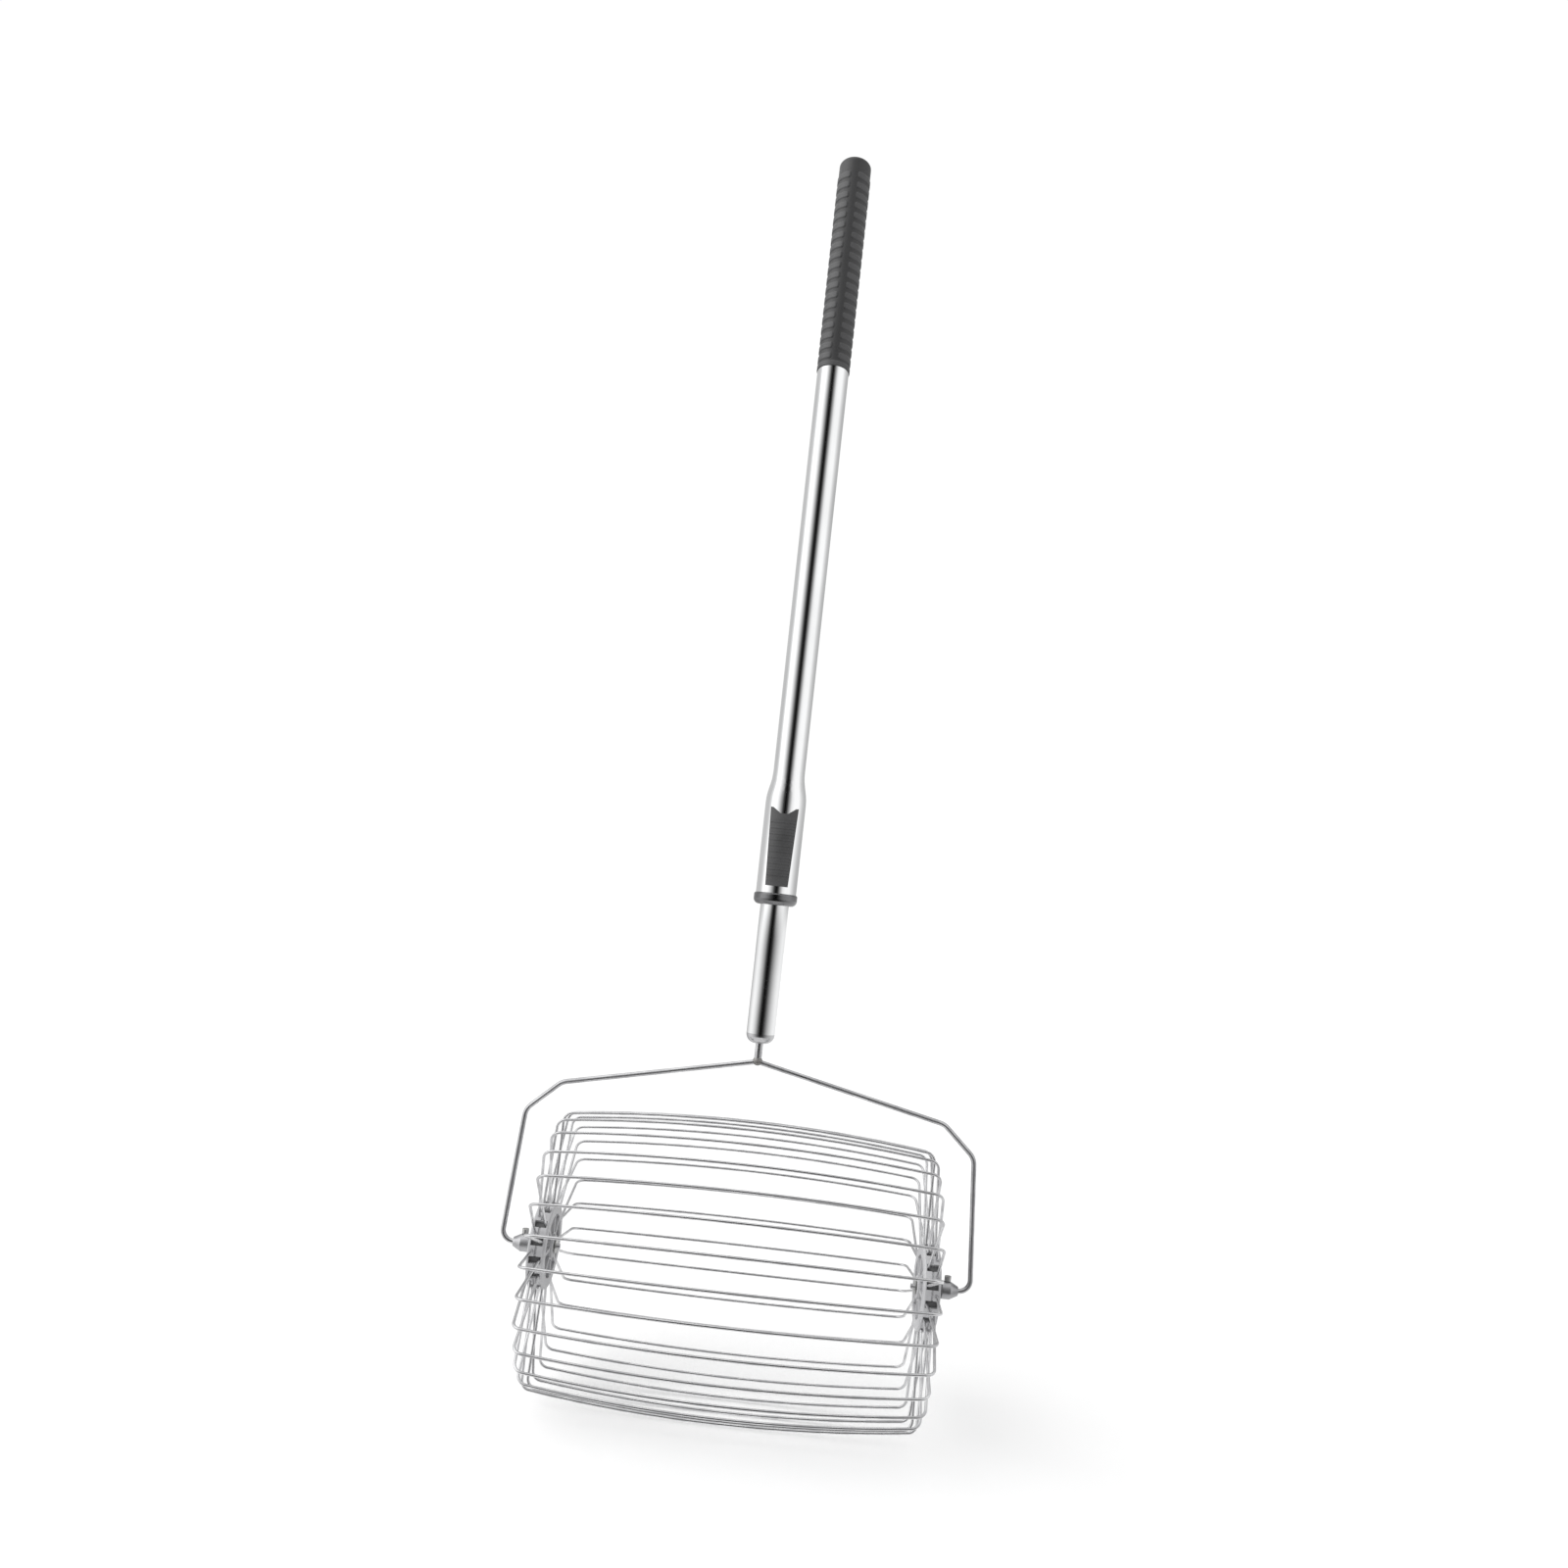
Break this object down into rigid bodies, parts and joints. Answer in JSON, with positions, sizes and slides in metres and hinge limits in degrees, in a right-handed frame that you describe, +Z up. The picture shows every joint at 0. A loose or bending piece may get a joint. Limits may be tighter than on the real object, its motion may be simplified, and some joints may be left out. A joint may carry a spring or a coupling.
{
  "type": "rolling nut gatherer",
  "caption": "Hand-pushed gatherer: a barrel cage of spring wires rolls under a bent wire yoke on a telescopic pole with a ribbed grip and a slide release.",
  "frame": {"origin": "on the floor, straight below the middle of the cage", "axes": "+Z up along the pole, +X along the cage axle, -Y towards the side with the release button"},
  "size_m": [0.3746, 0.2277, 0.9953],
  "materials": {
    "tube_steel": "polished",
    "wire_steel": "bright drawn wire",
    "cage_wire": "bright spring wire",
    "weld": "weld bead",
    "sleeve_metal": "turned, dull",
    "screw_steel": "zinc plated",
    "inner_plastic": "natural nylon",
    "core_plastic": "dark grey moulded plastic",
    "hub_plastic": "moulded grey plastic",
    "collar_metal": "black chrome",
    "button_plastic": "matte dark plastic",
    "grip_rubber": "ribbed soft rubber"
  },
  "bodies": {
    "base": {"lower_tube": "tube_steel", "lower_end_cap": "tube_steel", "guide_plug": "inner_plastic", "stem": "wire_steel", "weld_bead": "weld", "yoke_wire": "wire_steel", "stop_sleeve_left": "sleeve_metal", "stop_sleeve_right": "sleeve_metal", "set_screw_left": "screw_steel", "set_screw_right": "screw_steel", "thrust_washer_left": "screw_steel", "thrust_washer_right": "screw_steel", "axle_clip_left": "screw_steel", "axle_clip_right": "screw_steel"},
    "cage": {"hub_left": "hub_plastic", "hub_right": "hub_plastic", "hub_core_left": "core_plastic", "hub_core_right": "core_plastic", "hub_bush_left": "inner_plastic", "hub_bush_right": "inner_plastic", "cage_wire_01": "cage_wire", "cage_wire_02": "cage_wire", "cage_wire_03": "cage_wire", "cage_wire_04": "cage_wire", "cage_wire_05": "cage_wire", "cage_wire_06": "cage_wire", "cage_wire_07": "cage_wire", "cage_wire_08": "cage_wire", "cage_wire_09": "cage_wire", "cage_wire_10": "cage_wire", "cage_wire_11": "cage_wire", "cage_wire_12": "cage_wire", "cage_wire_13": "cage_wire", "cage_wire_14": "cage_wire", "cage_wire_15": "cage_wire", "cage_wire_16": "cage_wire", "cage_wire_17": "cage_wire", "cage_wire_18": "cage_wire", "cage_wire_19": "cage_wire", "cage_wire_20": "cage_wire", "cage_wire_21": "cage_wire", "cage_wire_22": "cage_wire", "cage_wire_23": "cage_wire", "cage_wire_24": "cage_wire", "cage_wire_25": "cage_wire", "cage_wire_26": "cage_wire", "cage_wire_27": "cage_wire", "cage_wire_28": "cage_wire", "cage_wire_29": "cage_wire", "cage_wire_30": "cage_wire"},
    "handle": {"upper_tube": "tube_steel", "collar_ring": "collar_metal", "guide_bush": "inner_plastic", "latch_housing": "inner_plastic", "grip": "grip_rubber", "grip_cap": "grip_rubber", "button_spring": "screw_steel"},
    "release_button": {"release_button": "button_plastic"},
    "lock_pin": {"lock_pin": "screw_steel"}
  },
  "joints": [
    {"name": "telescope", "type": "slide", "parent": "base", "child": "handle", "axis": [0, 0, 1], "range_m": [0, 0.3]},
    {"name": "cage_spin", "type": "hinge", "parent": "base", "child": "cage", "pos_m": [0, 0, 0.11401], "axis": [1, 0, 0], "continuous": true},
    {"name": "button_slide", "type": "slide", "parent": "handle", "child": "release_button", "axis": [0, 0, -1], "range_m": [0, 0.0045], "stiffness_N_per_m": 600, "springref_m": -0.001, "deforming": ["button_spring"]},
    {"name": "lock_pin_slide", "type": "slide", "parent": "handle", "child": "lock_pin", "axis": [0, -1, 0], "range_m": [0, 0.001]}
  ],
  "couplings": [
    {"joint": "lock_pin_slide", "follows": "button_slide", "ratio": 0.22222}
  ]
}
